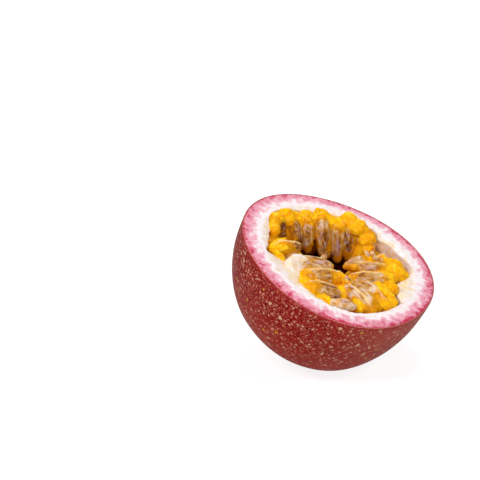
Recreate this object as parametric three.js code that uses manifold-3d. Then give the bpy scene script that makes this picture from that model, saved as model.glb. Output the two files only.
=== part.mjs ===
// Half of a passion fruit, cut across its middle and resting on its round side.
// +Z up, millimetres. The origin is the centre of the small flat spot that the half rests on.
// Two solids: the shell (skin, pink flesh and white pith in one wall, with its inner ridges)
// and the pulp (the juice sacs round an empty hollow), which sits 0.3 mm clear of the wall.

import * as THREE from 'three';
import { mergeVertices } from 'three/addons/utils/BufferGeometryUtils.js';
import Module from 'manifold-3d';

const wasm = await Module();
wasm.setup();

// Driving dimensions. Lengths in millimetres, angles in degrees.
const cutRadius = 28; // mean radius of the cut face
const domeDepth = 31; // from the cut face down to the blossom end
const fullness = 0.9; // 1 is a plain ellipsoid, less is fuller at the shoulder
const ovalShare = 0.029; // the cut face is this much longer one way
const ovalAngle = 12;
const lobeShare = 0.024; // and has three soft corners
const lobeAngle = 2;
const wallAtCut = 6.1; // pink flesh and white pith at the cut
const wallAtEnd = 5; // the same at the blossom end
const edgeRound = 0.5; // soft edges of the cut wall
const tilt = 26; // the cut face leans this much from level
const tiltAzimuth = -30.5; // towards the front right
const turn = 32; // the half's own turn about its axis
const flatDepth = 0.75; // how far the round side is pressed flat
const gap = 0.3; // clear space between shell and pulp
const sidesAround = 60;
const mouthHeight = 6; // how far above the cut the clear space of the bowl reaches
const rimReach = 26; // a sac can lie over the cut wall this far from the centre

// The inner ridges that the sacs grow from. Each is widest just below the cut.
const ridges = [
  { angle: 190, halfWidth: 21, reach: 8.6, dip: 0.9 },
  { angle: 216, halfWidth: 26, reach: 3, dip: 0.7 },
  { angle: 324, halfWidth: 27, reach: 4.6, dip: 1.1 },
  { angle: 28, halfWidth: 36, reach: 1.7, dip: 0.9 },
  { angle: 84, halfWidth: 38, reach: 1.5, dip: 0.5 },
  { angle: 150, halfWidth: 26, reach: 2, dip: 0.5 },
];

// The pulp: how full the bowl is, and the hollows left in it. The first is the one in its middle.
const pulpTop = -4; // top of the packed pulp under the sacs that show
const hollows = [
  { angle: 58, out: 7.4, radius: 11, depth: 17, stretch: 1.08 },
  { angle: 17, out: 14.2, radius: 5.2, depth: 9.5, stretch: 1.1 },
  { angle: 121, out: 17, radius: 3.4, depth: 8.5, stretch: 1 },
  { angle: 141, out: 18.5, radius: 2.8, depth: 7, stretch: 1 },
];

// The sacs that show. A row starts and ends at two angles round the cut face, with its roots this
// far out. A single sac has its root at a place on the face instead. up is the height of the root
// over the cut face. A sac points along heading (null means to the centre) and dips by pitch.
const farRows = [
  { angle: [138, 126], count: 2, out: 19.9, up: -1, pitch: 0, long: 4.2, wide: 3.9 },
  { angle: [115, 115], count: 1, out: 19.5, up: -0.9, pitch: 6, long: 5.8, wide: 5.2 },
  { angle: [103, 91], count: 2, out: 18.8, up: -1.8, pitch: 8, long: 6, wide: 5.2 },
  { angle: [79, 70], count: 2, out: 18.3, up: -1.7, pitch: 8, long: 6.2, wide: 5.2 },
  { angle: [60, 60], count: 1, out: 18.4, up: -1.6, pitch: 8, long: 5.6, wide: 4.8 },
  { angle: [52, 43], count: 2, out: 19.3, up: 0.1, pitch: 10, long: 5.8, wide: 5.2 },
  { angle: [33, 33], count: 1, out: 19.4, up: -1.4, pitch: 10, long: 6.4, wide: 5 },
];
const hangingRows = [
  { angle: [112, 64], count: 4, out: 18.2, up: -4.2, pitch: 60, long: 13, wide: 6.2 },
  { angle: [54, 30], count: 3, out: 18.2, up: -4.2, pitch: 62, long: 9, wide: 6 },
  { root: [-12.4, 15.8], up: -2.2, heading: -16, pitch: 50, long: 8.6, wide: 6 },
  { root: [-6.7, 15.8], up: -1.6, heading: -37, pitch: 51, long: 11, wide: 3.9 },
  { root: [-1.7, 15.8], up: -1.3, heading: -74, pitch: 60, long: 10.4, wide: 3.7 },
  { root: [2.8, 15.5], up: -1.3, heading: -68, pitch: 54, long: 12.8, wide: 5 },
  { root: [6.3, 13.9], up: -2.2, heading: -56, pitch: 56, long: 11.8, wide: 4 },
  { root: [9.8, 13.9], up: -1.5, heading: -62, pitch: 52, long: 12, wide: 4.8 },
  { root: [13.3, 12.3], up: -1.8, heading: -40, pitch: 64, long: 9.6, wide: 4.4 },
  { root: [16.6, 11.6], up: -1.8, heading: -92, pitch: 22, long: 9.4, wide: 4 },
  { root: [13.6, 5.6], up: -3.2, heading: -100, pitch: 30, long: 4.4, wide: 2 },
  { root: [15.6, 5.2], up: -3, heading: -80, pitch: 30, long: 4.4, wide: 1.8 },
];
const leftRows = [
  { root: [-17.5, 5], up: -1.4, heading: 10, pitch: 6, long: 12, wide: 5 },
  { angle: [150, 172], count: 2, out: 18, up: -4.4, heading: 20, pitch: 18, long: 9, wide: 5.2 },
  { root: [-14.2, 3.2], up: -2.4, heading: -6, pitch: 6, long: 9, wide: 2.4 },
  { root: [-18.9, 2.2], up: -1, heading: -78, pitch: 0, long: 5.4, wide: 2.6 },
];
const nearRows = [
  { root: [-12.2, -2.1], up: -1.2, heading: 3, pitch: 2, long: 12.8, wide: 6.2, flat: 0.6 },
  { root: [-5.4, -0.2], up: -0.8, heading: 48, pitch: -8, long: 3.6, wide: 1.6 },
  { root: [-13.4, -6.5], up: -1.2, heading: 2, pitch: 1, long: 15.4, wide: 5.2, flat: 0.8 },
  { root: [-14.6, -12], up: -1.4, heading: -8, pitch: 3, long: 12.6, wide: 6.4, flat: 0.8 },
  { root: [-15.4, -8.9], up: -1.6, heading: -10, pitch: 0, long: 5.2, wide: 3.8 },
  { angle: [222, 232], count: 3, out: 19.9, up: -1.1, heading: -62, pitch: 0, long: 4.8, wide: 2.2 },
  { root: [-10.3, -17.9], up: -0.4, heading: -12, pitch: 0, long: 7.8, wide: 3.4 },
  { root: [0.1, -17.6], up: -1.3, heading: 101, pitch: 2, long: 12.6, wide: 6.6, flat: 0.75 },
  { root: [4.6, -16.6], up: -1.2, heading: 104, pitch: 2, long: 12.6, wide: 5.6, flat: 0.75 },
  { root: [8, -14.8], up: -1.2, heading: 118, pitch: 3, long: 10, wide: 5 },
  { root: [11, -11.4], up: -1.1, heading: 148, pitch: 3, long: 9.5, wide: 5 },
  { root: [9.9, -9.6], up: -0.9, heading: 163, pitch: 2, long: 13.6, wide: 5.6, flat: 0.85 },
  { root: [12.3, -7.8], up: -1, heading: 165, pitch: 2, long: 8, wide: 4.8 },
  { root: [12.7, -4.5], up: -0.9, heading: 168, pitch: 2, long: 12.8, wide: 4.6, flat: 0.85 },
  { root: [17.1, -4.9], up: -1, heading: 172, pitch: 2, long: 7.5, wide: 4.6 },
  { root: [18.2, -1.3], up: -1, heading: 180, pitch: 0, long: 15, wide: 4 },
  { root: [8.6, -0.4], up: -1.2, heading: 192, pitch: 3, long: 10, wide: 4.2 },
  { root: [-1.2, -9], up: -1.7, heading: 82, pitch: 4, long: 5.2, wide: 3.2 },
  { angle: [354, 345], count: 2, out: 20.4, up: -1.5, pitch: 0, long: 5.6, wide: 3.2 },
  { angle: [341, 341], count: 1, out: 18.6, up: -1.7, pitch: 0, long: 5.6, wide: 3.8 },
  { angle: [300, 300], count: 1, out: 18.2, up: -1.6, pitch: 0, long: 5.4, wide: 3.8 },
  { angle: [334, 304], count: 5, out: 15.9, up: -1.5, pitch: 0, long: 5.4, wide: 3.6 },
  { angle: [296, 264], count: 5, out: 18.4, up: -1.4, pitch: 0, long: 5.4, wide: 3.8 },
];
const fillRows = [
  { angle: [200, 352], count: 7, out: 12, up: -4, pitch: 12, long: 10, wide: 5.6 },
  { angle: [186, 300], count: 4, out: 9.6, up: -7, pitch: 75, long: 9, wide: 5.6 },
];
const usualSac = { root: null, count: 1, heading: null, flat: 0.9 };
const slimSac = 4; // a sac narrower than this has fewer facets
const sacTaper = 0.2; // how much narrower a sac is at its tip than at its root
const unevenness = { angle: 1.5, out: 0.7, up: 0.4, heading: 6, size: 0.1 };

// The torn end of the widest ridge: a sheet from its crest down to its foot, with a hook at its end.
const lipStops = [
  { crest: [-19, -3.4, -1.4], foot: [-20, -6.2, -1.9], thick: [0.9, 1.2] },
  { crest: [-17.2, -1.3, 0.6], foot: [-17.2, -8, -2], thick: [0.9, 1.6] },
  { crest: [-14.6, -0.6, 1.2], foot: [-14, -4.2, -1.7], thick: [1, 1.6] },
  { crest: [-12.9, -1, 0.9], foot: [-13.3, -1.4, 0.5], thick: [1, 0.8] },
  { crest: [-11.5, -2, 0], foot: [-11.6, -2.1, -0.1], thick: [0.6, 0.6] },
];
const lipSides = 8; // sides of the rounded edges of the lip

const radians = (degrees) => THREE.MathUtils.degToRad(degrees);

// The same uneven number between -1 and 1 for the same place in the list.
function uneven(index) {
  const wave = Math.sin(index * 12.9898) * 43758.5453;
  return 2 * (wave - Math.floor(wave)) - 1;
}

// How far the outline of the cut face stands off a circle at this angle.
function outline(angle) {
  const oval = ovalShare * Math.cos(2 * (angle - radians(ovalAngle)));
  const lobes = lobeShare * Math.cos(3 * (angle - radians(lobeAngle)));
  return oval + lobes;
}

function ridgeReach(angle, height) {
  let reach = 0;
  for (const ridge of ridges) {
    let away = Math.abs(THREE.MathUtils.radToDeg(angle) - ridge.angle) % 360;
    away = Math.min(away, 360 - away) / ridge.halfWidth;
    const across = away < 1 ? Math.cos((away * Math.PI) / 2) ** 2 : 0;
    reach += ridge.reach * across * THREE.MathUtils.smoothstep(-height, 0, ridge.dip);
  }
  return reach;
}

// A quarter of the half's long section, from just under the cut to the blossom end.
function domeSection(radius, depth, steps, rows) {
  for (let step = 0; step <= steps; step += 1) {
    const along = (step / steps) * (Math.PI / 2);
    const out = step === steps ? 0 : radius * Math.cos(along) ** fullness;
    rows.push(new THREE.Vector2(out, -depth * Math.sin(along) ** fullness));
  }
}

// Turns a section into a round body, and gives it the outline of the cut face.
// The outline fades towards the blossom end. shape(point, angle) can move a point further.
function turned(section, depth, shape) {
  const upwards = [...section].reverse(); // so that the faces point out
  const geometry = new THREE.LatheGeometry(upwards, sidesAround);
  geometry.rotateX(Math.PI / 2);
  const position = geometry.getAttribute('position');
  const point = new THREE.Vector3();
  for (let index = 0; index < position.count; index += 1) {
    point.fromBufferAttribute(position, index);
    const angle = Math.atan2(point.y, point.x);
    const low = THREE.MathUtils.clamp(-point.z / depth, 0, 1);
    let out = Math.hypot(point.x, point.y);
    out *= 1 + outline(angle) * Math.sqrt(1 - low * low);
    if (shape && out > 1e-6) {
      out = shape(out, point, angle);
    }
    position.setXYZ(index, out * Math.cos(angle), out * Math.sin(angle), point.z);
  }
  return geometry;
}

function toSolid(geometry) {
  geometry.deleteAttribute('normal');
  geometry.deleteAttribute('uv');
  const merged = mergeVertices(geometry, 1e-4);
  const corners = merged.getIndex().array;
  const kept = [];
  for (let index = 0; index < corners.length; index += 3) {
    const [a, b, c] = [corners[index], corners[index + 1], corners[index + 2]];
    if (a !== b && b !== c && c !== a) {
      kept.push(a, b, c);
    }
  }
  const vertProperties = new Float32Array(merged.getAttribute('position').array);
  return new wasm.Manifold(new wasm.Mesh({ numProp: 3, vertProperties, triVerts: new Uint32Array(kept) }));
}

function toGeometry(solid) {
  const mesh = solid.getMesh();
  const geometry = new THREE.BufferGeometry();
  geometry.setAttribute('position', new THREE.BufferAttribute(mesh.vertProperties, 3));
  geometry.setIndex(new THREE.BufferAttribute(mesh.triVerts, 1));
  geometry.computeVertexNormals();
  return geometry;
}

// The half's own frame has the cut face level at height 0, with its centre on the axis.
function placement(height) {
  const leaned = new THREE.Matrix4().makeRotationZ(radians(tiltAzimuth));
  leaned.multiply(new THREE.Matrix4().makeRotationY(radians(tilt)));
  leaned.multiply(new THREE.Matrix4().makeRotationZ(radians(turn - tiltAzimuth)));
  return new THREE.Matrix4().makeTranslation(0, 0, height).multiply(leaned);
}

function outerDome() {
  const section = [new THREE.Vector2(0, 0), new THREE.Vector2(cutRadius - edgeRound, 0)];
  const rows = [];
  domeSection(cutRadius, domeDepth, 15, rows);
  rows[0].y = -edgeRound;
  return turned(section.concat(rows), domeDepth);
}

// The empty inside of the shell. inset makes it smaller all round, for what lies in it.
function bowl(inset) {
  const radius = cutRadius - wallAtCut;
  const depth = domeDepth - wallAtEnd;
  const rows = [];
  domeSection(radius, depth, 10, rows);
  const mouth = [new THREE.Vector2(0, mouthHeight), new THREE.Vector2(radius + edgeRound, mouthHeight)];
  mouth.push(new THREE.Vector2(radius + edgeRound, 0), new THREE.Vector2(radius, -edgeRound));
  for (const share of [0.04, 0.08, 0.13]) {
    mouth.push(new THREE.Vector2(radius, -depth * share));
  }
  const lower = rows.filter((row) => -row.y > depth * 0.15);
  return turned(mouth.concat(lower), depth, (out, point, angle) => {
    const wall = out - ridgeReach(angle, point.z) * Math.min(1, out / radius) - inset;
    point.z += inset;
    return Math.max(wall, 0.01);
  });
}

// One juice sac: wide and round at its root, narrower at its tip.
function sac(root, heading, pitch, long, wide, flat) {
  const size = wide < slimSac ? [6, 4] : [8, 5]; // facets round and along it
  const geometry = new THREE.SphereGeometry(0.5, ...size);
  geometry.rotateZ(-Math.PI / 2);
  const position = geometry.getAttribute('position');
  for (let index = 0; index < position.count; index += 1) {
    const along = position.getX(index);
    const girth = wide * (1 - 2 * sacTaper * along);
    position.setXYZ(index, along * long, position.getY(index) * girth, position.getZ(index) * girth * flat);
  }
  geometry.translate(long / 2 - wide / 2, 0, 0);
  geometry.rotateY(pitch);
  geometry.rotateZ(heading);
  geometry.translate(root.x, root.y, root.z);
  return toSolid(geometry);
}

// Only the sacs of a row are uneven. A single sac lies just as given.
function sacRow(row, seed) {
  const sacs = [];
  for (let index = 0; index < row.count; index += 1) {
    const share = row.count > 1 ? index / (row.count - 1) : 0.5;
    const draw = (step) => (row.count > 1 ? uneven(seed * 31 + index + 0.3 * step) : 0);
    const root = new THREE.Vector3(0, 0, row.up + unevenness.up * draw(2));
    if (row.root) {
      root.setX(row.root[0]);
      root.setY(row.root[1]);
    } else {
      const [from, to] = row.angle;
      const angle = radians(from + (to - from) * share + unevenness.angle * draw(0));
      const out = row.out + unevenness.out * draw(1);
      root.setX(out * Math.cos(angle));
      root.setY(out * Math.sin(angle));
    }
    const inwards = Math.atan2(-root.y, -root.x);
    const straight = row.heading === null ? inwards : radians(row.heading);
    const heading = straight + radians(unevenness.heading) * draw(5);
    const long = row.long * (1 + unevenness.size * draw(3));
    const wide = row.wide * (1 + unevenness.size * draw(4));
    sacs.push(sac(root, heading, radians(row.pitch), long, wide, row.flat));
  }
  return sacs;
}

// grow makes the lip larger all round, for the space that the pulp leaves for it.
function lip(grow) {
  const edges = lipStops.map((stop) => {
    const crest = wasm.Manifold.sphere(stop.thick[0] / 2 + grow, lipSides).translate(stop.crest);
    const foot = wasm.Manifold.sphere(stop.thick[1] / 2 + grow, lipSides).translate(stop.foot);
    return [crest, foot];
  });
  let whole = null;
  for (let index = 1; index < edges.length; index += 1) {
    const piece = wasm.Manifold.hull([...edges[index - 1], ...edges[index]]);
    whole = whole ? whole.add(piece) : piece;
  }
  return whole;
}

// An empty hollow: an egg shape with its widest part at the cut face.
function hollowBall(hollow) {
  const geometry = new THREE.SphereGeometry(1, 18, 12);
  geometry.rotateX(Math.PI / 2);
  geometry.scale(hollow.radius / hollow.stretch, hollow.radius * hollow.stretch, hollow.depth);
  geometry.translate(hollow.out, 0, 0);
  geometry.rotateZ(radians(hollow.angle));
  return toSolid(geometry);
}

// The largest body alone: without loose scraps, and with the hollows that are sealed in it filled.
function filled(body) {
  return body.decompose().reduce((most, one) => (one.volume() > most.volume() ? one : most));
}

// The height of the cut face's centre at which flatDepth of the round side is below the floor.
function restHeight(dome) {
  const position = dome.getAttribute('position');
  const leaned = placement(0);
  const point = new THREE.Vector3();
  let lowest = 0;
  for (let index = 0; index < position.count; index += 1) {
    lowest = Math.min(lowest, point.fromBufferAttribute(position, index).applyMatrix4(leaned).z);
  }
  return -lowest - flatDepth;
}

function flatCentre(solid) {
  const mesh = solid.getMesh();
  const centre = new THREE.Vector2();
  let count = 0;
  for (let index = 0; index < mesh.vertProperties.length; index += 3) {
    if (Math.abs(mesh.vertProperties[index + 2]) < 1e-4) {
      centre.x += mesh.vertProperties[index];
      centre.y += mesh.vertProperties[index + 1];
      count += 1;
    }
  }
  return centre.divideScalar(count);
}

const dome = outerDome();
const height = restHeight(dome);
const placed = placement(height);

const wall = toSolid(dome).subtract(toSolid(bowl(0))).add(lip(0));
const belowFloor = new THREE.BoxGeometry(4 * cutRadius, 4 * cutRadius, 2 * cutRadius);
belowFloor.translate(0, 0, -cutRadius);
const shellSolid = wall.transform(placed.elements).subtract(toSolid(belowFloor));

const packed = new THREE.CylinderGeometry(cutRadius, cutRadius, 2 * domeDepth, 32);
packed.rotateX(Math.PI / 2);
packed.translate(0, 0, pulpTop - domeDepth);
const overRim = new THREE.CylinderGeometry(rimReach, rimReach, mouthHeight, 48);
overRim.rotateX(Math.PI / 2);
overRim.translate(0, 0, gap + mouthHeight / 2);

let pulp = toSolid(packed);
for (const hollow of hollows) {
  pulp = pulp.subtract(hollowBall(hollow));
}
const sacRows = [...farRows, ...hangingRows, ...leftRows, ...nearRows, ...fillRows];
sacRows.forEach((row, seed) => {
  for (const one of sacRow({ ...usualSac, ...row }, seed + 1)) {
    pulp = pulp.add(one);
  }
});
pulp = pulp.intersect(toSolid(bowl(gap)).add(toSolid(overRim)));
pulp = filled(pulp.subtract(lip(gap)));
const pulpSolid = pulp.transform(placed.elements);

const centre = flatCentre(shellSolid);
const group = new THREE.Group();
const shellSkin = new THREE.MeshStandardMaterial({ color: 0x8f3a35, roughness: 0.4, metalness: 0 });
const shellMesh = new THREE.Mesh(toGeometry(shellSolid), shellSkin);
shellMesh.name = 'shell';
const pulpJuice = new THREE.MeshStandardMaterial({ color: 0xf5a914, roughness: 0.25, metalness: 0 });
const pulpMesh = new THREE.Mesh(toGeometry(pulpSolid), pulpJuice);
pulpMesh.name = 'pulp';
for (const mesh of [shellMesh, pulpMesh]) {
  mesh.geometry.translate(-centre.x, -centre.y, 0);
  group.add(mesh);
}

export default group;
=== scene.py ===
import itertools
import math

import bmesh
import bpy
import numpy as np
from mathutils import Matrix, Vector


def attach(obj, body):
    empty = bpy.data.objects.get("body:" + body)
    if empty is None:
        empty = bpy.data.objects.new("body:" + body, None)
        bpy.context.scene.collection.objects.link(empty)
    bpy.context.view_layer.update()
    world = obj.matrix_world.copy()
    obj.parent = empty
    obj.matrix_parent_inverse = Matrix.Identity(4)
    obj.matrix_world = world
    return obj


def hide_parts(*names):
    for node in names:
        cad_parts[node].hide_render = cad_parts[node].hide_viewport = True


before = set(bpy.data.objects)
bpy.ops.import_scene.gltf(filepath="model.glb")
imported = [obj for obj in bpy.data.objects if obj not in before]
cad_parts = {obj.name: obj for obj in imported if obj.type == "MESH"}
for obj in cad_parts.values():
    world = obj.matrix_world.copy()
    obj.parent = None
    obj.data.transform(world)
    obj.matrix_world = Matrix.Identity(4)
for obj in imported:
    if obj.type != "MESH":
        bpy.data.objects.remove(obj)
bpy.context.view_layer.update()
mm = 0.001

# The half in its own frame: the cut face lies at height 0 round the axis, and the blossom end is
# below. Lengths are millimetres and angles degrees, here and in every dictionary that follows.
half = {
    "cutRadius": 28.0,
    "domeDepth": 31.0,
    "fullness": 0.9,
    "ovalShare": 0.029,
    "ovalAngle": 12,
    "lobeShare": 0.024,
    "lobeAngle": 2,
    "wallAtCut": 6.1,
    "wallAtEnd": 5.0,
    "tilt": 26,
    "tiltAzimuth": -30.5,
    "turn": 32,
    "cutCentre": (1.564, -1.014, 29.843),
}


def placement():
    azimuth = math.radians(half["tiltAzimuth"])
    lean = Matrix.Rotation(azimuth, 4, "Z") @ Matrix.Rotation(math.radians(half["tilt"]), 4, "Y")
    lean = lean @ Matrix.Rotation(math.radians(half["turn"]) - azimuth, 4, "Z")
    return Matrix.Translation(Vector(half["cutCentre"]) * mm) @ lean


placed = placement()
worldUp = np.array(placed.to_3x3().inverted() @ Vector((0, 0, 1)))  # in the half's frame

# ---- numbers that many pieces share

scatterWay = np.array([12.9898, 78.233, 37.719])  # mixes a place into one number
scatterBy = 43758.5453  # large, so that near numbers draw far apart


def ramp(value, low, high):
    share = np.clip((value - low) / (high - low), 0, 1)
    return share * share * (3 - 2 * share)


def uneven(index):
    # A random number from -1 to 1, the same one each time for the same index.
    wave = math.sin(index * scatterWay[0]) * scatterBy
    return 2 * (wave - math.floor(wave)) - 1


def scattered(keys):
    wave = np.sin(keys) * scatterBy
    return wave - np.floor(wave)


def lumps(points, size, seed=0.0):
    # A smooth random field from -1 to 1, with lumps about this wide.
    grid = np.asarray(points) / size + seed * 7.31
    cell = np.floor(grid)
    share = grid - cell
    share = share * share * (3 - 2 * share)
    total = np.zeros(len(grid))
    for corner in itertools.product((0, 1), repeat=3):
        weight = np.prod(np.where(corner, share, 1 - share), axis=1)
        total += weight * scattered((cell + corner) @ scatterWay)
    return 2 * total - 1


def outline(angle):
    oval = half["ovalShare"] * np.cos(2 * (angle - math.radians(half["ovalAngle"])))
    lobes = half["lobeShare"] * np.cos(3 * (angle - math.radians(half["lobeAngle"])))
    return oval + lobes


def domeSection(radius, depth, steps):
    along = np.linspace(0, math.pi / 2, steps + 1)[:-1]
    power = half["fullness"]
    return [(radius * math.cos(t) ** power, -depth * math.sin(t) ** power) for t in along]


def rounded(out, height, angle, depth):
    low = np.clip(-height / depth, 0, 1)
    return out * (1 + outline(angle) * np.sqrt(1 - low * low))


def aboveFloor(points, clearance):
    # The round side is pressed flat where it would reach below the floor.
    height = points @ worldUp + half["cutCentre"][2]
    lift = np.maximum(clearance - height, 0)
    return points + lift[:, None] * worldUp


# ---- meshes


def turned(section, sides, shape):
    # Turns a section that runs from axis to axis into a closed body.
    angle = np.arange(sides) * (2 * math.pi / sides)
    rings = np.array(section[1:-1])
    out = np.repeat(rings[:, :1], sides, axis=1)
    height = np.repeat(rings[:, 1:], sides, axis=1)
    turn = np.repeat(angle[None, :], len(rings), axis=0)
    out, height = shape(out, height, turn)
    points = np.stack([out * np.cos(turn), out * np.sin(turn), height], axis=2).reshape(-1, 3)
    points = np.vstack([points, [(0, 0, section[0][1]), (0, 0, section[-1][1])]])
    first, last = len(points) - 2, len(points) - 1
    faces = []
    for ring in range(len(rings) - 1):
        low, high = ring * sides, (ring + 1) * sides
        for side in range(sides):
            after = (side + 1) % sides
            faces.append((low + side, low + after, high + after, high + side))
    top = (len(rings) - 1) * sides
    for side in range(sides):
        after = (side + 1) % sides
        faces.append((first, after, side))
        faces.append((last, top + side, top + after))
    return points, faces


def toMesh(name, points, faces):
    mesh = bpy.data.meshes.new(name)
    mesh.from_pydata(points.tolist(), [], faces)
    shape = bmesh.new()
    shape.from_mesh(mesh)
    bmesh.ops.recalc_face_normals(shape, faces=shape.faces)
    shape.to_mesh(mesh)
    shape.free()
    return mesh


def remeshed(name, mesh, voxel, smoothings):
    # Welds closed meshes that overlap into one closed mesh.
    holder = bpy.data.objects.new(name, mesh)
    bpy.context.scene.collection.objects.link(holder)
    remesh = holder.modifiers.new("weld", "REMESH")
    remesh.mode = "VOXEL"
    remesh.voxel_size = voxel
    smooth = holder.modifiers.new("soften", "SMOOTH")
    smooth.factor = 0.5
    smooth.iterations = smoothings
    graph = bpy.context.evaluated_depsgraph_get()
    welded = bpy.data.meshes.new_from_object(holder.evaluated_get(graph))
    bpy.data.objects.remove(holder)
    return welded


def ball(detail):
    shape = bmesh.new()
    bmesh.ops.create_icosphere(shape, subdivisions=detail, radius=1)
    points = np.array([v.co for v in shape.verts])
    faces = [[v.index for v in f.verts] for f in shape.faces]
    shape.free()
    return points, faces


def joined(blocks):
    points, faces, start = [], [], 0
    for some, theirs in blocks:
        points.append(some)
        faces += [[index + start for index in face] for face in theirs]
        start += len(some)
    return np.vstack(points), faces


def pointsOf(mesh):
    points = np.empty(len(mesh.vertices) * 3)
    mesh.vertices.foreach_get("co", points)
    return points.reshape(-1, 3)


def normalsOf(mesh):
    normals = np.empty(len(mesh.vertices) * 3)
    mesh.vertices.foreach_get("normal", normals)
    return normals.reshape(-1, 3)


def setPoints(mesh, points):
    mesh.vertices.foreach_set("co", np.asarray(points, dtype=np.float32).ravel())
    mesh.update()


def setField(mesh, name, values):
    values = np.asarray(values, dtype=np.float32)
    kind = "FLOAT_VECTOR" if values.ndim == 2 else "FLOAT"
    field = mesh.attributes.new(name, kind, "POINT")
    field.data.foreach_set("vector" if values.ndim == 2 else "value", values.ravel())


def addPiece(name, mesh, material, slot, *nodes):
    # The mesh is in millimetres in the half's frame until here. Materials keep that as halfPlace.
    points = pointsOf(mesh)
    setField(mesh, "halfPlace", points)
    turn = np.array(placed.to_3x3())
    setPoints(mesh, points * mm @ turn.T + np.array(placed.translation))
    mesh.shade_smooth()
    mesh.materials.append(material)
    piece = bpy.data.objects.new(name, mesh)
    bpy.context.scene.collection.objects.link(piece)
    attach(piece, "root")
    if nodes:
        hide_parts(*nodes)
    print(f"{name}: {len(mesh.vertices)} points, {len(mesh.polygons)} faces")
    return piece


# ---- materials


def linear(hexColour):
    parts = [int(hexColour[i:i + 2], 16) / 255 for i in (1, 3, 5)]
    return (*[c / 12.92 if c <= 0.04045 else ((c + 0.055) / 1.055) ** 2.4 for c in parts], 1)


def addNode(tree, kind, options, *inputs):
    # Options with a small letter are the node's settings, and the others are sockets by name. Inputs
    # are sockets in their order. A value that is itself a socket is linked.
    node = tree.nodes.new("ShaderNode" + kind)
    take = options.pop("take", None)
    stops = options.pop("stops", None)
    for key, value in options.items():
        if key[0].islower():
            setattr(node, key, value)
    pairs = [(node.inputs[key], value) for key, value in options.items() if key[0].isupper()]
    pairs += zip([socket for socket in node.inputs if socket.enabled], inputs)
    for socket, value in pairs:
        if isinstance(value, bpy.types.NodeSocket):
            tree.links.new(value, socket)
        elif value is not None:
            socket.default_value = value
    if stops:
        for index, (place, colour) in enumerate(stops):
            points = node.color_ramp.elements
            stop = points[index] if index < 2 else points.new(place)
            stop.position = place
            stop.color = linear(colour)
    if take:
        return node.outputs[take]
    return next((socket for socket in node.outputs if socket.enabled), None)


def newMaterial(name):
    material = bpy.data.materials.new(name)
    material.use_nodes = True
    material.node_tree.nodes.clear()
    return material, material.node_tree


def finishMaterial(material, tree, shader):
    surface = addNode(tree, "BsdfPrincipled", shader)
    addNode(tree, "OutputMaterial", {"Surface": surface})
    return material


def readField(tree, name, take="Fac"):
    return addNode(tree, "Attribute", {"attribute_name": name, "take": take})


def noise(tree, place, scale, detail, **more):
    return addNode(tree, "TexNoise", {"Vector": place, "Scale": scale, "Detail": detail, **more})


def remap(tree, value, given, wanted=(0.0, 1.0)):
    # Turns the first span of values into the second, and holds what lies outside it.
    return addNode(tree, "MapRange", {}, value, *given, *wanted)


def combine(tree, operation, first, second=None):
    return addNode(tree, "Math", {"operation": operation}, first, second)


def colourRamp(tree, value, *stops):
    return addNode(tree, "ValToRGB", {"stops": stops}, value)


def tint(tree, share, colour, other):
    other = linear(other) if isinstance(other, str) else other
    return addNode(tree, "Mix", {"data_type": "RGBA"}, share, colour, other)


# Rind of a ripe purple passion fruit, grown and wiped clean, with its natural wax: a dark red
# with wormy mottling and cream breathing pores, and a soft broad shine.
rind = {
    "dark": "#5c0408",
    "light": "#b02c24",
    "patch": "#8c060a",
    # The next red is painted bounce light from the floor, on the side below.
    "floorBounceRed": "#c22c14",
    # The next red is painted light: one side of the rind is painted paler, where more light falls.
    "paintedLitSide": "#cc5e50",
    "pore": "#dcae88",
    "smallPore": "#d09078",
    "mottle": "#b85e4a",
    "goldPore": "#dca61c",
    "underCut": "#a5242c",
    "cuticle": "#b87c70",
    "lowSpan": (-9.0, -26.0),
    "litSideWay": (0.72, -0.69, 0.0),
    "litSideSpan": (4.0, 26.0),
    "bendScale": 1.4,
    "bendBy": 0.8,
    "wormSize": 0.42,
    "patchSize": 9.0,
    "cutBand": 1.6,
}
# Each kind of dot has a spacing, the reach of its largest dots as a share of that, and the share of
# its places that stay empty.
rindDots = {
    "mottle": (0.55, 0.5, 0.1),
    "smallPore": (1.0, 0.38, 0.1),
    "pore": (2.2, 0.24, 0.3),
    "goldPore": (4.0, 0.12, 0.2),
}


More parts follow.
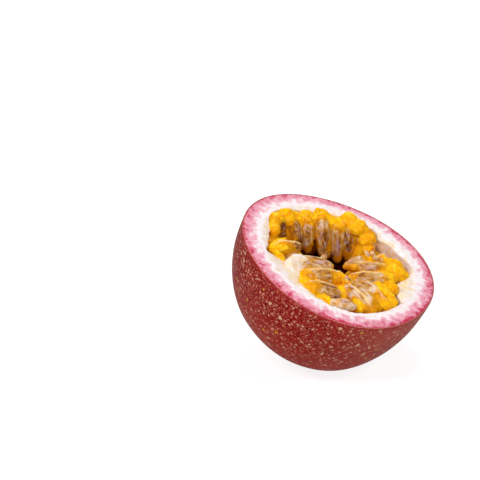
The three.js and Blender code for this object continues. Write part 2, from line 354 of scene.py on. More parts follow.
def rindMaterial():
    material, tree = newMaterial("waxedPassionFruitRind")
    place = readField(tree, "halfPlace", "Vector")
    height = addNode(tree, "SeparateXYZ", {"take": "Z"}, place)
    bend = noise(tree, place, scale=rind["bendScale"], detail=4.0, take="Color")
    bend = addNode(tree, "VectorMath", {"operation": "SUBTRACT"}, bend, (0.5, 0.5, 0.5))
    bend = addNode(tree, "VectorMath", {"operation": "SCALE", "Vector": bend, "Scale": rind["bendBy"]})
    bent = addNode(tree, "VectorMath", {"operation": "ADD"}, place, bend)

    def withFloorBounce(colour, share):
        # Painted bounce light from the floor: the side below is painted a brighter red.
        low = remap(tree, height, rind["lowSpan"], (0.0, share))
        return tint(tree, low, colour, rind["floorBounceRed"])

    worms = noise(tree, bent, scale=1 / rind["wormSize"], detail=3.0)
    worms = colourRamp(tree, worms, (0.4, rind["dark"]), (0.6, rind["light"]))
    patches = noise(tree, place, scale=1 / rind["patchSize"], detail=3.0)
    patches = remap(tree, patches, (0.42, 0.6), (0.0, 0.75))
    colour = withFloorBounce(tint(tree, patches, worms, rind["patch"]), 0.5)
    # Painted light: the rind is painted a paler red towards one side.
    litSide = addNode(tree, "VectorMath", {"operation": "DOT_PRODUCT", "take": "Value"}, place, rind["litSideWay"])
    litSide = remap(tree, litSide, rind["litSideSpan"], (0.0, 0.6))
    colour = tint(tree, litSide, colour, rind["paintedLitSide"])

    for name, (spacing, reach, empty) in rindDots.items():
        options = {"Vector": bent, "Scale": 1 / spacing}
        distance = addNode(tree, "TexVoronoi", {**options, "take": "Distance"})
        chance = addNode(tree, "TexVoronoi", {**options, "take": "Color"})
        chance = addNode(tree, "SeparateColor", {"take": "Red"}, chance)
        size = remap(tree, chance, (empty, 1.0), (reach, reach * 0.35))
        dot = combine(tree, "DIVIDE", distance, size)
        dot = remap(tree, dot, (0.75, 1.25), (1.0, 0.0))
        dot = combine(tree, "MULTIPLY", dot, combine(tree, "GREATER_THAN", chance, empty))
        colour = tint(tree, dot, colour, rind[name])
    colour = withFloorBounce(colour, 0.3)

    nearCut = remap(tree, height, (-rind["cutBand"], -0.3), (0.0, 0.8))
    colour = tint(tree, nearCut, colour, rind["underCut"])
    edge = remap(tree, height, (-0.25, -0.1))
    dotted = noise(tree, place, scale=2.5, detail=1.0)
    dotted = remap(tree, dotted, (0.42, 0.58), (0.2, 1.0))
    edge = combine(tree, "MULTIPLY", edge, dotted)
    colour = tint(tree, edge, colour, rind["cuticle"])

    grain = noise(tree, place, scale=2.2, detail=3.0)
    rough = remap(tree, grain, (0.3, 0.7), (0.36, 0.5))
    bump = addNode(tree, "Bump", {"Strength": 0.35, "Distance": 0.0001, "Height": grain})
    shader = {"Base Color": colour, "Roughness": rough, "Normal": bump, "IOR": 1.16}
    shader.update({"Coat Weight": 0.05, "Coat Roughness": 0.25, "Subsurface Weight": 0.05})
    shader.update({"Subsurface Radius": (1.0, 0.3, 0.2), "Subsurface Scale": 0.0006})
    return finishMaterial(material, tree, shader)


# Fresh pith, cut with a sharp knife: moist and satin, pink under the rind and white inside,
# with fibres that run outwards, and cream where juice has soaked in. Its spans are depths in from
# the rind, or heights.
pith = {
    "line": "#c02c52",
    "deepPink": "#ce5a76",
    "pink": "#e08ca0",
    "palePink": "#eab0be",
    "white": "#f0e6e8",
    "cream": "#eadaca",
    "beige": "#e8ccb2",
    "soaked": "#f0d096",
    "stain": "#eeb22e",
    "ripeAngle": 290,
    "fibreWidth": 0.4,
    "fibreLength": 1.8,
    "jag": 1.0,
    "wave": 1.6,
    "pinkDepth": 8.0,
    "streakSpan": (2.6, 5.0),
    "lineReach": (0.6, 1.7),
    "creamSpan": (5.3, 7.6),
    "wetSpan": (5.4, 7.4),
    "shadeBelowSpan": (-0.6, -4.0),
}


def pithMaterial():
    material, tree = newMaterial("freshCutPith")
    inward = readField(tree, "inFromRind")
    spread = readField(tree, "spread", "Vector")
    place = readField(tree, "halfPlace", "Vector")
    height = addNode(tree, "SeparateXYZ", {"take": "Z"}, place)

    fibres = noise(tree, spread, scale=1 / pith["fibreWidth"], detail=3.0)
    broad = noise(tree, place, scale=0.5, detail=5.0)
    depth = combine(tree, "ADD", inward, remap(tree, fibres, (0.3, 0.7), (-pith["jag"], pith["jag"])))
    depth = combine(tree, "ADD", depth, remap(tree, broad, (0.3, 0.7), (-pith["wave"], pith["wave"])))
    share = combine(tree, "DIVIDE", depth, pith["pinkDepth"])
    stops = [(0.0, pith["deepPink"]), (0.1, pith["pink"]), (0.36, pith["palePink"]), (0.48, pith["white"])]
    colour = colourRamp(tree, share, *stops)
    streak = remap(tree, fibres, (0.5, 0.7), (0.0, 0.9))
    outside = remap(tree, depth, pith["streakSpan"], (1.0, 0.0))
    streak = combine(tree, "MULTIPLY", streak, outside)
    colour = tint(tree, streak, colour, pith["deepPink"])
    reach = remap(tree, readField(tree, "ripeSide"), (0.0, 1.0), pith["lineReach"])
    line = remap(tree, depth, (0.1, reach), (1.0, 0.0))
    colour = tint(tree, line, colour, pith["line"])
    creamy = remap(tree, depth, pith["creamSpan"])
    colour = tint(tree, creamy, colour, pith["cream"])
    soaked = noise(tree, place, scale=0.7, detail=4.0)
    soaked = remap(tree, soaked, (0.44, 0.62), (0.0, 0.75))
    colour = tint(tree, combine(tree, "MULTIPLY", soaked, creamy), colour, pith["soaked"])
    # Painted shade: the cream is painted beige lower down, on the walls inside the cavity and the lower part
    # of the lip.
    below = remap(tree, height, pith["shadeBelowSpan"])
    colour = tint(tree, combine(tree, "MULTIPLY", below, creamy), colour, pith["beige"])
    spots = noise(tree, place, scale=0.9, detail=3.0)
    spots = remap(tree, spots, (0.6, 0.66), (0.0, 0.7))
    wet = remap(tree, depth, pith["wetSpan"])
    colour = tint(tree, combine(tree, "MULTIPLY", spots, wet), colour, pith["stain"])

    torn = combine(tree, "MULTIPLY", noise(tree, place, scale=1.4, detail=4.0), creamy)
    grain = combine(tree, "ADD", combine(tree, "ADD", fibres, broad), torn)
    bump = addNode(tree, "Bump", {"Strength": 0.6, "Distance": 0.0003, "Height": grain})
    shader = {"Base Color": colour, "Roughness": 0.45, "Normal": bump, "IOR": 1.35}
    shader.update({"Coat Weight": 0.1, "Coat Roughness": 0.25, "Subsurface Weight": 0.2})
    shader.update({"Subsurface Radius": (1.0, 0.6, 0.5), "Subsurface Scale": 0.0008})
    return finishMaterial(material, tree, shader)


# Ripe juice sacs, torn open by the cut: wet golden gel, half clear, so that the brown seeds
# show through it as grey and amber shapes under a wrinkled film.
juice = {
    "gold": "#fdc00a",
    "brightGold": "#fecc20",
    "amber": "#f8ae04",
    # The next colour is painted shade in the creases of the gel.
    "creaseShade": "#ee9604",
    "strandGlint": "#ffdc44",
    # The next two colours are painted shade, between sacs and lower down in the pulp.
    "low": "#de8606",
    "lowest": "#a04c10",
    "filmEdge": "#dc9a20",
    "clearGel": "#ca820a",
    "palest": "#e0c6b0",
    "beige": "#c69a66",
    "amberFilm": "#b07a30",
    "brown": "#925214",
    "darkBrown": "#6a3414",
    "lilacGlare": "#c4a0aa",
    # The next colour is a painted highlight along the crest of a fold.
    "crest": "#f0cf9c",
    # The next colour is painted shade, near black, in the hollow.
    "holeShade": "#400a0e",
    "creaseShadeShare": 0.35,
    "crestHighlightShare": 0.8,
    "wrinkleShade": 0.4,
    "paleLineWidth": 0.035,
}


def juiceMaterial():
    material, tree = newMaterial("wetJuiceSacs")
    fields = {}
    for name in ("film", "halo", "shade", "spot", "crest", "creaseShade", "creviceShade", "holeShade"):
        fields[name] = readField(tree, name)
    grainPlace = readField(tree, "sacPlace", "Vector")
    place = readField(tree, "halfPlace", "Vector")

    # Fine pale lines, here and there in the gel and on the film, partly fibres and fold lines and partly
    # painted glints.
    paleLinesAndGlints = noise(tree, grainPlace, scale=0.8, detail=2.5)
    paleLinesAndGlints = combine(tree, "ABSOLUTE", combine(tree, "SUBTRACT", paleLinesAndGlints, 0.5))
    paleLinesAndGlints = remap(tree, paleLinesAndGlints, (0.0, juice["paleLineWidth"]), (0.7, 0.0))
    patchy = noise(tree, place, scale=0.6, detail=2.0)
    patchy = remap(tree, patchy, (0.45, 0.6))
    paleLinesAndGlints = combine(tree, "MULTIPLY", paleLinesAndGlints, patchy)

    cloud = noise(tree, place, scale=0.45, detail=4.0)
    # Painted shade and light: the gel is painted brighter on its lumps and deeper orange in the creases
    # between them.
    swell = remap(tree, fields["creaseShade"], (0.0, 0.8), (0.1, -0.1))
    cloud = combine(tree, "ADD", cloud, swell)
    stops = [(0.36, juice["amber"]), (0.5, juice["gold"]), (0.76, juice["brightGold"])]
    gel = colourRamp(tree, cloud, *stops)
    gel = tint(tree, combine(tree, "MULTIPLY", fields["creaseShade"], juice["creaseShadeShare"]), gel, juice["creaseShade"])
    # Painted shade: the gel is painted orange to brown between sacs and lower down.
    stops = [(0.0, juice["gold"]), (0.4, juice["low"]), (1.0, juice["lowest"])]
    low = colourRamp(tree, fields["creviceShade"], *stops)
    gel = tint(tree, remap(tree, fields["creviceShade"], (0.0, 0.25)), gel, low)
    # Pale strands in the gel, partly fibres and partly painted glints.
    strandsAndGlints = noise(tree, place, scale=1.5, detail=5.0, Distortion=0.6)
    strandsAndGlints = remap(tree, strandsAndGlints, (0.56, 0.66), (0.0, 0.3))
    gel = tint(tree, combine(tree, "MAXIMUM", strandsAndGlints, paleLinesAndGlints), gel, juice["strandGlint"])
    clear = remap(tree, cloud, (0.35, 0.65), (1.0, 0.45))
    gel = tint(tree, combine(tree, "MULTIPLY", clear, fields["halo"]), gel, juice["clearGel"])

    creases = noise(tree, grainPlace, scale=1.0, detail=4.0, Distortion=0.8)
    wrinkled = remap(tree, creases, (0.32, 0.68), (-juice["wrinkleShade"], juice["wrinkleShade"]))
    shade = combine(tree, "ADD", fields["shade"], wrinkled)
    stops = [(0.0, juice["palest"]), (0.26, juice["beige"]), (0.5, juice["amberFilm"])]
    skin = colourRamp(tree, shade, *stops, (0.74, juice["brown"]), (1.0, juice["darkBrown"]))
    # Painted highlights: lilac glare in streaks over the dark middle of the seed.
    glareStreaks = noise(tree, grainPlace, scale=0.9, detail=2.0)
    glareStreaks = remap(tree, glareStreaks, (0.55, 0.62), (0.0, 0.75))
    skin = tint(tree, combine(tree, "MULTIPLY", glareStreaks, fields["spot"]), skin, juice["lilacGlare"])
    lace = noise(tree, place, scale=0.9, detail=5.0)
    skin = tint(tree, remap(tree, lace, (0.5, 0.62), (0.0, 0.45)), skin, juice["filmEdge"])
    # The pale lines are painted on the film too, partly as painted glints.
    skin = tint(tree, paleLinesAndGlints, skin, juice["palest"])
    colour = tint(tree, remap(tree, fields["film"], (0.35, 0.8)), gel, skin)
    # Painted highlight: a pale line along the crest of the film's fold.
    crest = combine(tree, "MULTIPLY", fields["crest"], juice["crestHighlightShare"])
    colour = tint(tree, crest, colour, juice["crest"])
    # Painted shade: the deep part of the hollow is painted near black.
    colour = tint(tree, fields["holeShade"], colour, juice["holeShade"])

    rough = remap(tree, fields["holeShade"], (0.2, 1.0), (0.3, 0.9))
    wet = remap(tree, fields["holeShade"], (0.1, 0.8), (0.15, 0.0))
    beads = noise(tree, place, scale=1.7, detail=2.0)
    bump = addNode(tree, "Bump", {"Strength": 0.4, "Distance": 0.0002, "Height": creases})
    bump = addNode(tree, "Bump", {"Strength": 0.6, "Distance": 0.0004, "Height": beads, "Normal": bump})
    shader = {"Base Color": colour, "Roughness": rough, "Normal": bump, "IOR": 1.08}
    shader.update({"Coat Weight": wet, "Coat Roughness": 0.06, "Subsurface Weight": 0.75})
    shader.update({"Subsurface Radius": (1.0, 0.8, 0.07), "Subsurface Scale": 0.0014})
    return finishMaterial(material, tree, shader)


# ---- the rind: a thin cup with a soft edge at the cut

rindCup = {
    "thick": 0.38,
    "edge": 0.2,
    "unevenDepth": 0.1,
    "unevenSize": 7.0,
    "sides": 320,
    "rows": 100,
    "innerRows": 40,
}


def rindPiece():
    radius, depth, thick = half["cutRadius"], half["domeDepth"], rindCup["thick"]
    outer = [(0, -depth)] + domeSection(radius, depth, rindCup["rows"])[::-1]
    outer[-1] = (radius, -rindCup["edge"])
    cutEdge = [(radius - 0.06, -0.08), (radius - thick / 2, -0.02), (radius - thick + 0.06, -0.08)]
    inner = domeSection(radius - thick, depth - thick, rindCup["innerRows"])
    inner[0] = (radius - thick, -rindCup["edge"])
    section = outer + cutEdge + inner + [(0, -depth + thick)]

    def shape(out, height, angle):
        return rounded(out, height, angle, depth), height

    points, faces = turned(section, rindCup["sides"], shape)
    swell = rindCup["unevenDepth"] * lumps(points, rindCup["unevenSize"], 3)
    points *= 1 + (swell / radius * ramp(-points[:, 2], 0, 4))[:, None]
    inside = np.arange(len(points)) >= (len(outer) + 1) * rindCup["sides"]
    points = np.where(inside[:, None], aboveFloor(points, thick), aboveFloor(points, 0))
    mesh = toMesh("rind", points, faces)
    return addPiece("rind", mesh, rindMaterial(), "skin", "shell")


# ---- the pith: the rest of the wall, with its cut face, inner ridges and torn lip

wall = {
    "clear": 0.3,
    "edgeRound": 0.5,
    "ledgeDepth": 5.0,
    "sides": 420,
    "outerRows": 50,
    "rimRows": 24,
    "ledgeRows": 34,
    "innerRows": 44,
    "unevenEdge": 0.35,
    "faceRelief": (0.10, 0.05),
    "ridgeRelief": (0.28, 0.14),
}
ridges = [
    {"angle": 190, "halfWidth": 21, "reach": 8.6, "dip": 0.9},
    {"angle": 216, "halfWidth": 26, "reach": 3.0, "dip": 0.7},
    {"angle": 324, "halfWidth": 27, "reach": 4.6, "dip": 1.1},
    {"angle": 28, "halfWidth": 36, "reach": 1.7, "dip": 0.9},
    {"angle": 84, "halfWidth": 38, "reach": 1.5, "dip": 0.5},
    {"angle": 150, "halfWidth": 26, "reach": 2.0, "dip": 0.5},
]


def ridgeReach(angle, height):
    reach = np.zeros(np.shape(angle))
    for ridge in ridges:
        away = np.abs(np.degrees(angle) - ridge["angle"]) % 360
        away = np.minimum(away, 360 - away) / ridge["halfWidth"]
        across = np.where(away < 1, np.cos(away * math.pi / 2) ** 2, 0)
        reach = reach + ridge["reach"] * across * ramp(-height, 0, ridge["dip"])
    return reach


def pithPiece():
    radius, depth, clear = half["cutRadius"], half["domeDepth"], wall["clear"]
    inRadius = radius - half["wallAtCut"]
    inDepth = depth - half["wallAtEnd"]
    outer = [(0, -depth + clear)] + domeSection(radius - clear, depth - clear, wall["outerRows"])[::-1]
    outer[-1] = (radius - clear, -0.3)
    rimEdge = [(radius - clear - 0.1, -0.1), (radius - clear - 0.3, -0.02)]
    rim = [(r, 0.0) for r in np.linspace(radius - 0.9, inRadius + wall["edgeRound"], wall["rimRows"])]
    ledge = []
    for step in range(1, wall["ledgeRows"] + 1):
        share = step / wall["ledgeRows"]
        out = inRadius + wall["edgeRound"] * (1 - share) ** 6
        ledge.append((out, -wall["ledgeDepth"] * share ** 1.6))
    below = domeSection(inRadius, inDepth, wall["innerRows"])
    below = [p for p in below if p[1] < -wall["ledgeDepth"] - 0.3]
    section = outer + rimEdge + rim + ledge + below + [(0, -inDepth)]
    innerFrom = len(outer) - 1 + len(rimEdge) + len(rim)

    def shape(out, height, angle):
        isInner = (np.arange(len(out)) >= innerFrom)[:, None]
        body = rounded(out, height, angle, np.where(isInner, inDepth, depth))
        reach = ridgeReach(angle, height) * np.minimum(1, out / inRadius)
        return np.where(isInner, np.maximum(body - reach, 0.01), body), height

    points, faces = turned(section, wall["sides"], shape)
    angle = np.arctan2(points[:, 1], points[:, 0])
    out = np.hypot(points[:, 0], points[:, 1])
    # The inner edge of the cut face wanders, and the face has fibres.
    ring = np.stack([20 * np.cos(angle), 20 * np.sin(angle), points[:, 2]], axis=1)
    nearEdge = ramp(out, inRadius + 2.2, inRadius + 0.4) * ramp(points[:, 2], -8, -1)
    shift = wall["unevenEdge"] * (lumps(ring, 3.0, 1) + 0.6 * lumps(ring, 1.2, 2)) * nearEdge
    points[:, :2] *= (1 + shift / np.maximum(out, 1))[:, None]
    onFace = ramp(out, inRadius - 1, inRadius + 1) * ramp(out, radius - 0.9, radius - 2)
    onFace *= ramp(points[:, 2], -0.3, 0)
    fibre = np.stack([24 * np.cos(angle), 24 * np.sin(angle), out * 0.4], axis=1)
    broad, fine = wall["faceRelief"]
    points[:, 2] += onFace * (broad * lumps(ring, 4.0, 5) + fine * lumps(fibre, 0.8, 6))
    # The ridges are torn where the sacs came off.
    onRidge = ramp(ridgeReach(angle, points[:, 2]), 0.4, 1.5) * ramp(points[:, 2], -4, -2)
    inside = np.arange(len(points)) >= innerFrom * wall["sides"]
    onRidge *= inside
    broad, fine = wall["ridgeRelief"]
    points[:, 2] += onRidge * (broad * lumps(points, 2.4, 7) + fine * lumps(points, 1.1, 8))
    points = np.where(inside[:, None], points, aboveFloor(points, clear))

    mesh = toMesh("pith", points, faces)
    fitPithFields(mesh)
    return addPiece("pith", mesh, pithMaterial(), "flesh", "shell")


def fitPithFields(mesh):
    points = pointsOf(mesh)
    angle = np.arctan2(points[:, 1], points[:, 0])
    out = np.hypot(points[:, 0], points[:, 1])
    below = np.minimum(points[:, 2], 0) / half["domeDepth"]
    level = np.hypot(out / (half["cutRadius"] * (1 + outline(angle))), below)
    setField(mesh, "inFromRind", (1 - level) * half["cutRadius"])
    setField(mesh, "ripeSide", 0.5 + 0.5 * np.cos(angle - math.radians(pith["ripeAngle"])))
    stretch = pith["fibreWidth"] / pith["fibreLength"]
    around = half["cutRadius"] * np.stack([np.cos(angle), np.sin(angle)], axis=1)
    setField(mesh, "spread", np.column_stack([around, (out + points[:, 2]) * stretch]))


# The end of the left ridge, torn up by the knife: a sheet from its crest down to the ridge, with a
# hook that curls over. Each stop is a place on the crest, its foot, and the thickness of both.
lip = {
    "voxel": 0.2,
    "smoothings": 6,
    "steps": (34, 12),
    "relief": (0.28, 0.14),
    "bulge": (-0.1, -0.1, 0.1),
    "stops": [
        ((-19.0, -3.4, -1.4), (-20.0, -6.2, -1.9), 0.45, 0.6),
        ((-18.3, -2.2, -0.4), (-18.8, -7.4, -1.9), 0.45, 0.7),
        ((-17.2, -1.3, 0.6), (-17.2, -8.0, -2.0), 0.45, 0.8),
        ((-15.8, -0.7, 1.1), (-15.4, -6.2, -2.0), 0.5, 0.8),
        ((-14.6, -0.6, 1.2), (-14.0, -4.2, -1.7), 0.5, 0.8),
        ((-13.8, -0.7, 1.1), (-13.7, -3.0, -1.1), 0.5, 0.7),
        ((-12.9, -1.0, 0.9), (-13.3, -1.4, 0.5), 0.5, 0.4),
        ((-12.0, -1.5, 0.5), (-12.3, -1.7, 0.3), 0.45, 0.4),
        ((-11.5, -2.0, 0.0), (-11.6, -2.1, -0.1), 0.3, 0.3),
    ],
}


def lipPiece():
    base, baseFaces = ball(3)
    blocks = []
    for place in np.linspace(0, len(lip["stops"]) - 1, lip["steps"][0]):
        low = min(int(place), len(lip["stops"]) - 2)
        mixed = [np.array(a) + (np.array(b) - a) * (place - low) for a, b in zip(*lip["stops"][low:low + 2])]
        for share in np.linspace(0, 1, lip["steps"][1]):
            centre = mixed[0] + (mixed[1] - mixed[0]) * share
            centre = centre + np.array(lip["bulge"]) * math.sin(share * math.pi)
            blocks.append((base * (mixed[2] + (mixed[3] - mixed[2]) * share) + centre, baseFaces))
    points, faces = joined(blocks)
    mesh = remeshed("pithLip", toMesh("pithLip", points, faces), lip["voxel"], lip["smoothings"])
    points = pointsOf(mesh)
    relief = lip["relief"][0] * lumps(points, 1.6, 3) + lip["relief"][1] * lumps(points, 0.8, 4)
    setPoints(mesh, points + normalsOf(mesh) * relief[:, None])
    points = pointsOf(mesh)
    # Painted highlight: the top of the lip is painted white, and the body below it cream.
    setField(mesh, "inFromRind", 5.2 + 2.2 * ramp(points[:, 2], 1.7, 0.9))
    setField(mesh, "ripeSide", np.zeros(len(points)))
    setField(mesh, "spread", points * (1.0, 1.0, 0.3))
    return addPiece("pithLip", mesh, pithMaterial(), "flesh", "shell")


# ---- the pulp: juice sacs over a core, with the empty hollow in its middle

pulp = {
    "top": -4.0,
    "sides": 160,
    "topRows": 50,
    "sideRows": 30,
    "voxel": 0.32,
    "smoothings": 3,
    "uneven": {"angle": 1.5, "out": 0.7, "up": 0.4, "heading": 6, "size": 0.1},
    "swell": 0.09,
    "swellSize": 1.9,
    "grain": {"count": 7, "each": 5, "size": (0.5, 1.2), "sink": 0.4, "uneven": 0.3, "lowest": -4.5},
    "lumpSize": 2.3,
    "lumpBend": 0.5,
    "lumpRelief": 0.2,
    "lumpLean": 0.4,
    "foldRelief": 0.2,
    "crestRelief": 0.3,
    "crestWidth": 0.2,
    "filmSpan": (1.3, 0.45),
    "haloSpan": (2.0, 1.0),
    "plainBelow": (-9, -6),
    "lowSpan": (-1.5, -11),
    "holeShadeSpan": (-8.6, -11),
}
hollows = [
    {"angle": 58, "out": 7.4, "radius": 11, "depth": 17, "stretch": 1.08},
    {"angle": 17, "out": 14.2, "radius": 5.2, "depth": 9.5, "stretch": 1.1},
    {"angle": 121, "out": 17, "radius": 3.4, "depth": 8.5, "stretch": 1},
    {"angle": 141, "out": 18.5, "radius": 2.8, "depth": 7, "stretch": 1},
]
# A row of sacs starts and ends at two angles round the cut face, with its roots this far out, and
# its middle bows inwards. A single sac has its root at a place on the face instead. up is the height
# of the root, heading and pitch say which way the sac points and dips, and roll turns its film side.
# flat is the thickness as a share of the width, and taper how much wider the root is than the
# middle. film is the share of the length that wrinkled film covers, over the seed, and cover the
# share of the width. shade is how dark the seed looks, spot how much darker its middle is, and
# crest the side where a raised fold runs, painted pale as a highlight, from -1 to 1.
sacRows = [
    # golden bulbs along the far side
    dict(angle=(138, 126), count=2, out=19.9, up=-1.0, pitch=0, long=4.2, wide=3.9),
    dict(angle=(115, 115), out=19.5, up=-0.9, pitch=6, long=5.8, wide=5.2),
    dict(angle=(103, 91), count=2, out=18.8, up=-1.8, pitch=8, long=6, wide=5.2),
    dict(angle=(79, 70), count=2, out=18.3, up=-1.7, pitch=8, long=6.2, wide=5.2),
    dict(angle=(60, 60), out=18.4, up=-1.6, pitch=8, long=5.6, wide=4.8),
    dict(angle=(52, 43), count=2, out=19.3, up=0.1, pitch=10, long=5.8, wide=5.2),
    dict(angle=(33, 33), out=19.4, up=-1.4, pitch=10, long=6.4, wide=5, film=(-0.4, 0.3), cover=0.7,
         shade=-0.1, spot=0),
    # the wall behind the hanging seeds, and those seeds
    dict(angle=(112, 64), count=4, out=18.2, bow=0.2, up=-4.2, pitch=60, long=13, wide=6.2),
    dict(angle=(54, 30), count=3, out=18.2, up=-4.2, pitch=62, long=9, wide=6),
    dict(root=(-12.4, 15.8), up=-2.2, heading=-16, pitch=50, long=8.6, wide=6, film=(0.15, 1.1), shade=0.85,
         spot=0.1, roll=-30),
    dict(root=(-6.7, 15.8), up=-1.6, heading=-37, pitch=51, long=11, wide=3.9, film=(0.05, 0.9), shade=0.6,
         roll=-35),
    dict(root=(-1.7, 15.8), up=-1.3, heading=-74, pitch=60, long=10.4, wide=3.7, film=(0.08, 0.8), shade=0.22,
         spot=0.4, taper=0.06, roll=-45),
    dict(root=(2.8, 15.5), up=-1.3, heading=-68, pitch=54, long=12.8, wide=5, film=(0.06, 0.84), shade=0.34,
         spot=0.4, taper=0.05, roll=-45),
    dict(root=(6.3, 13.9), up=-2.2, heading=-56, pitch=56, long=11.8, wide=4, film=(0.05, 0.8), shade=0.32,
         spot=0.35, taper=0, roll=-45),
    dict(root=(9.8, 13.9), up=-1.5, heading=-62, pitch=52, long=12, wide=4.8, film=(0.12, 0.76), shade=0.42,
         spot=0.3, taper=0.05, roll=-40),
    dict(root=(13.3, 12.3), up=-1.8, heading=-40, pitch=64, long=9.6, wide=4.4, film=(0.2, 0.85), shade=0.45,
         spot=0.2, cover=0.7, roll=-40),
    dict(root=(16.6, 11.6), up=-1.8, heading=-92, pitch=22, long=9.4, wide=4, film=(0.35, 0.95), shade=0.5,
         spot=0.1, cover=0.6),
    dict(root=(13.6, 5.6), up=-3.2, heading=-100, pitch=30, long=4.4, wide=2, film=(0, 1), shade=0.1),
    dict(root=(15.6, 5.2), up=-3.0, heading=-80, pitch=30, long=4.4, wide=1.8, film=(0, 1), shade=0.2),
    # the left side
    dict(root=(-17.5, 5.0), up=-1.4, heading=10, pitch=6, long=12, wide=5, film=(0.55, 1), shade=0.5,
         crest=0.3, cover=0.8, roll=-20),
    dict(angle=(150, 172), count=2, out=18, up=-4.4, heading=20, pitch=18, long=9, wide=5.2, film=(0.3, 1),
         shade=0.8),
    dict(root=(-14.2, 3.2), up=-2.4, heading=-6, pitch=6, long=9, wide=2.4, film=(-0.2, 1), shade=0.2),
    dict(root=(-18.9, 2.2), up=-1.0, heading=-78, pitch=0, long=5.4, wide=2.6),
    # flat sacs along the near side, with their roots at the wall
    dict(root=(-12.2, -2.1), up=-1.2, heading=3, pitch=2, long=12.8, wide=6.2, film=(-0.2, 1.1), shade=0.3,
         crest=0.7, flat=0.6, taper=0.1, cover=1.1),
    dict(root=(-5.4, -0.2), up=-0.8, heading=48, pitch=-8, long=3.6, wide=1.6, film=(-0.2, 1), shade=0.3),
    dict(root=(-13.4, -6.5), up=-1.2, heading=2, pitch=1, long=15.4, wide=5.2, film=(0.2, 0.64), shade=0.3,
         crest=0.5, flat=0.8, roll=-20),
    dict(root=(-14.6, -12.0), up=-1.4, heading=-8, pitch=3, long=12.6, wide=6.4, film=(0.26, 1), shade=0.42,
         crest=0.75, flat=0.8, roll=-20),
    dict(root=(-15.4, -8.9), up=-1.6, heading=-10, pitch=0, long=5.2, wide=3.8),
    dict(angle=(222, 232), count=3, out=19.9, up=-1.1, heading=-62, pitch=0, long=4.8, wide=2.2),
    dict(root=(-10.3, -17.9), up=-0.4, heading=-12, pitch=0, long=7.8, wide=3.4, film=(-0.2, 1.1),
         shade=0.06, cover=1.3),
    dict(root=(0.1, -17.6), up=-1.3, heading=101, pitch=2, long=12.6, wide=6.6, film=(0.16, 1), shade=0.24,
         crest=0.1, flat=0.75, roll=20),
    dict(root=(4.6, -16.6), up=-1.2, heading=104, pitch=2, long=12.6, wide=5.6, film=(0.34, 1), shade=0.2,
         crest=-0.5, flat=0.75, roll=20),
    dict(root=(8.0, -14.8), up=-1.2, heading=118, pitch=3, long=10, wide=5),
    dict(root=(11.0, -11.4), up=-1.1, heading=148, pitch=3, long=9.5, wide=5),
    dict(root=(9.9, -9.6), up=-0.9, heading=163, pitch=2, long=13.6, wide=5.6, film=(0.32, 0.88), shade=0.4,
         crest=-0.6, flat=0.85, roll=20),
    dict(root=(12.3, -7.8), up=-1, heading=165, pitch=2, long=8, wide=4.8),
    dict(root=(12.7, -4.5), up=-0.9, heading=168, pitch=2, long=12.8, wide=4.6, film=(0.32, 0.86), shade=0.35,
         crest=-0.6, flat=0.85, roll=20),
    dict(root=(17.1, -4.9), up=-1, heading=172, pitch=2, long=7.5, wide=4.6),
    dict(root=(18.2, -1.3), up=-1, heading=180, pitch=0, long=15, wide=4, film=(0.44, 0.62), shade=0.34,
         crest=-0.8, cover=0.6),
    dict(root=(8.6, -0.4), up=-1.2, heading=192, pitch=3, long=10, wide=4.2, film=(0.3, 1), shade=0.4,
         spot=0),
    dict(root=(-1.2, -9), up=-1.7, heading=82, pitch=4, long=5.2, wide=3.2, film=(0.2, 1), shade=0.34,
         spot=0),
    dict(angle=(354, 345), count=2, out=20.4, up=-1.5, long=5.6, wide=3.2),
    dict(angle=(341, 341), out=18.6, up=-1.7, long=5.6, wide=3.8),
    dict(angle=(300, 300), out=18.2, up=-1.6, long=5.4, wide=3.8),
    dict(angle=(334, 304), count=5, out=15.9, up=-1.5, long=5.4, wide=3.6),
    dict(angle=(296, 264), count=5, out=18.4, up=-1.4, long=5.4, wide=3.8),
    # fillers below
    dict(angle=(200, 352), count=7, out=12, up=-4, pitch=12, long=10, wide=5.6),
    dict(angle=(186, 300), count=4, out=9.6, up=-7, pitch=75, long=9, wide=5.6),
]
beyond = 9.0  # a place along or across a sac that is outside it
usualSac = dict(root=None, count=1, bow=0, heading=None, pitch=0, roll=0, flat=0.9, taper=0.22,
                film=(beyond, beyond), cover=0.92, shade=0.2, spot=0.3, crest=beyond)


def sacList():
    sacs = []
    change = pulp["uneven"]
    for seed, given in enumerate(sacRows):
        row = {**usualSac, **given}
        for index in range(row["count"]):
            draws = [uneven((seed + 1) * 31 + index + 0.3 * step) * (row["count"] > 1) for step in range(6)]
            if row["root"]:
                x, y = row["root"]
            else:
                share = index / (row["count"] - 1) if row["count"] > 1 else 0.5
                angle = row["angle"][0] + (row["angle"][1] - row["angle"][0]) * share
                angle = math.radians(angle + change["angle"] * draws[0])
                out = row["out"] - row["bow"] * math.sin(share * math.pi) + change["out"] * draws[1]
                x, y = out * math.cos(angle), out * math.sin(angle)
            inwards = math.atan2(-y, -x)
            turn = inwards if row["heading"] is None else math.radians(row["heading"])
            turn += math.radians(change["heading"]) * draws[5]
            dip, roll = math.radians(row["pitch"]), math.radians(row["roll"])
            along = np.array([math.cos(dip) * math.cos(turn), math.cos(dip) * math.sin(turn), -math.sin(dip)])
            side = np.array([-math.sin(turn), math.cos(turn), 0])
            across = math.cos(roll) * side - math.sin(roll) * np.cross(along, side)
            sac = dict(row, root=np.array([x, y, row["up"] + change["up"] * draws[2]]))
            sac["axes"] = np.array([along, across, np.cross(along, across)])
            sac["long"] = row["long"] * (1 + change["size"] * draws[3])
            sac["wide"] = row["wide"] * (1 + change["size"] * draws[4])
            sacs.append(sac)
    return sacs


